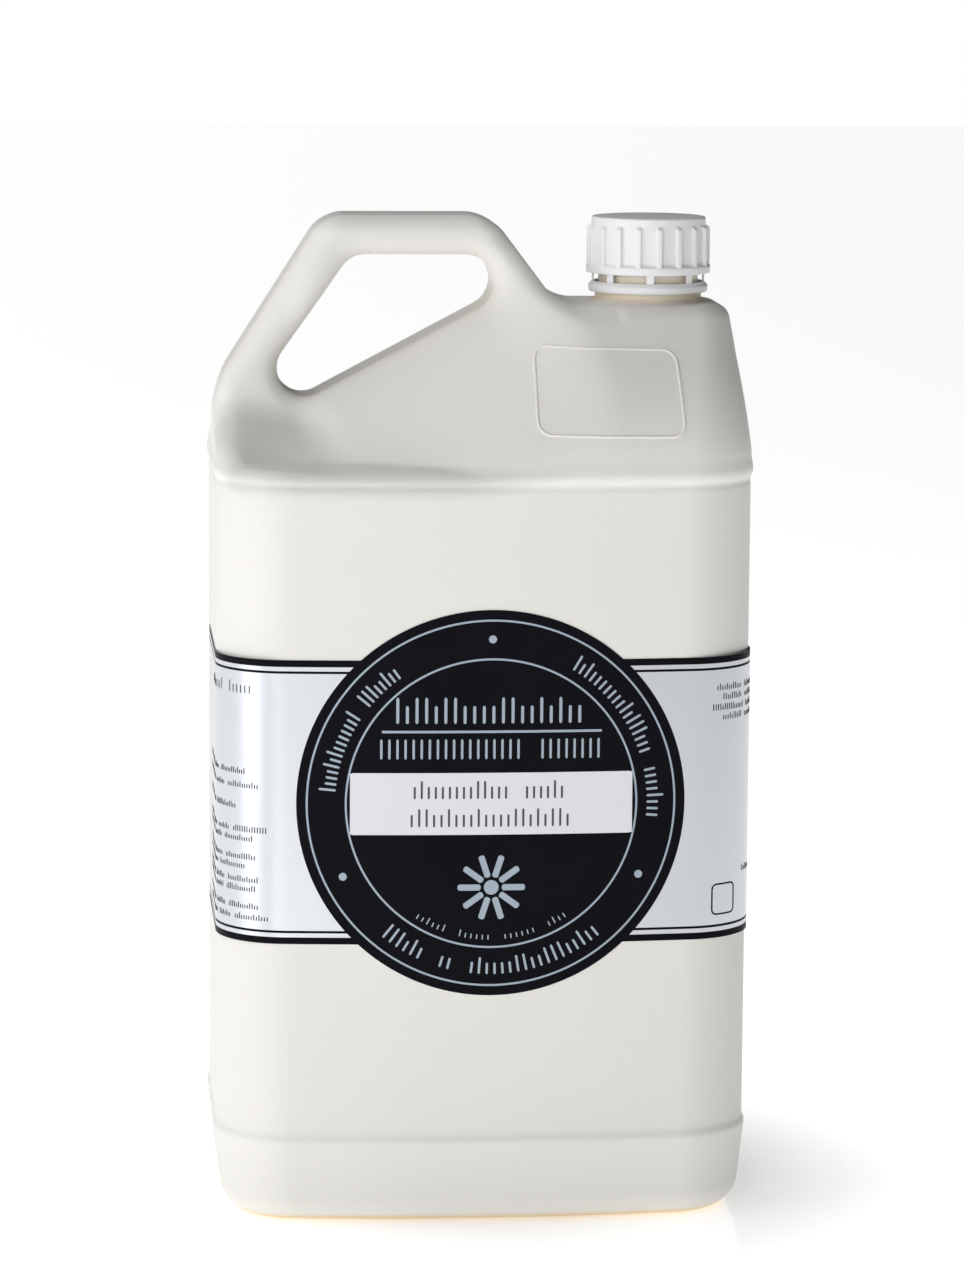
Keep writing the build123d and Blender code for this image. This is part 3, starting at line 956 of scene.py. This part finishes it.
# The floor glows white, and less so close to the bottle: a painted shadow round its foot.
floor_shader.inputs["Emission Color"].default_value = (1, 1, 1, 1)
nodes, links = floor_mat.node_tree.nodes, floor_mat.node_tree.links
on_floor = nodes.new("ShaderNodeTexCoord")
from_foot = nodes.new("ShaderNodeVectorMath")
from_foot.operation = "LENGTH"
floor_glow_painted_shadow = nodes.new("ShaderNodeMapRange")
floor_glow_painted_shadow.inputs["From Min"].default_value = 0.06
floor_glow_painted_shadow.inputs["From Max"].default_value = 0.16
floor_glow_painted_shadow.inputs["To Min"].default_value = 0.32
floor_glow_painted_shadow.inputs["To Max"].default_value = 0.85
links.new(on_floor.outputs["Object"], from_foot.inputs[0])
links.new(from_foot.outputs["Value"], floor_glow_painted_shadow.inputs["Value"])
links.new(floor_glow_painted_shadow.outputs["Result"], floor_shader.inputs["Emission Strength"])
floor_mesh.materials.append(floor_mat)

world = bpy.data.worlds.new("studio")
bpy.context.scene.world = world
world.use_nodes = True
nodes, links = world.node_tree.nodes, world.node_tree.links
room = nodes["Background"]
room.inputs["Color"].default_value = (1, 1, 1, 1)
toward = nodes.new("ShaderNodeTexCoord")
split = nodes.new("ShaderNodeSeparateXYZ")
fade = nodes.new("ShaderNodeMapRange")
fade.inputs["From Min"].default_value = -1.0
fade.inputs["From Max"].default_value = 0.2
fade.inputs["To Min"].default_value = 0.58
fade.inputs["To Max"].default_value = 0.03
paper = nodes.new("ShaderNodeBackground")
paper.inputs["Color"].default_value = (1, 1, 1, 1)
seen = nodes.new("ShaderNodeLightPath")
pick = nodes.new("ShaderNodeMixShader")
links.new(toward.outputs["Generated"], split.inputs["Vector"])
links.new(split.outputs["X"], fade.inputs["Value"])
links.new(fade.outputs["Result"], room.inputs["Strength"])
links.new(seen.outputs["Is Camera Ray"], pick.inputs["Fac"])
links.new(room.outputs["Background"], pick.inputs[1])
links.new(paper.outputs["Background"], pick.inputs[2])
links.new(pick.outputs["Shader"], nodes["World Output"].inputs["Surface"])


def softbox(name, place, aim, width, height, watts):
    """Rectangular area light pointed at a spot."""
    light = bpy.data.lights.new(name, "AREA")
    light.shape = "RECTANGLE"
    light.size = width
    light.size_y = height
    light.energy = watts
    lamp = bpy.data.objects.new(name, light)
    lamp.location = place
    lamp.rotation_euler = (Vector(aim) - Vector(place)).to_track_quat("-Z", "Y").to_euler()
    bpy.context.scene.collection.objects.link(lamp)


middle = (0, 0, 0.16)
softbox("key_left", (-1.4, -0.7, 0.6), middle, 0.9, 1.4, 5.0)
softbox("front_left", (-0.7, -2.2, 0.9), middle, 1.0, 1.0, 12.5)
softbox("top", (-0.3, 0.3, 1.6), middle, 1.4, 1.4, 5)

camera_data = bpy.data.cameras.new("camera")
camera_data.sensor_width = 36
camera_data.lens = 140.6
camera_data.clip_end = 50
camera = bpy.data.objects.new("camera", camera_data)
camera.location = (-0.1423, -1.6469, 0.429)
look = Vector((0.0867, 0.9854, -0.1464)).to_track_quat("-Z", "Y")
roll = Quaternion((0, 0, 1), math.radians(0.40))
camera.rotation_euler = (look @ roll).to_euler()
bpy.context.scene.collection.objects.link(camera)
bpy.context.scene.camera = camera
bpy.context.scene.view_settings.view_transform = "Standard"
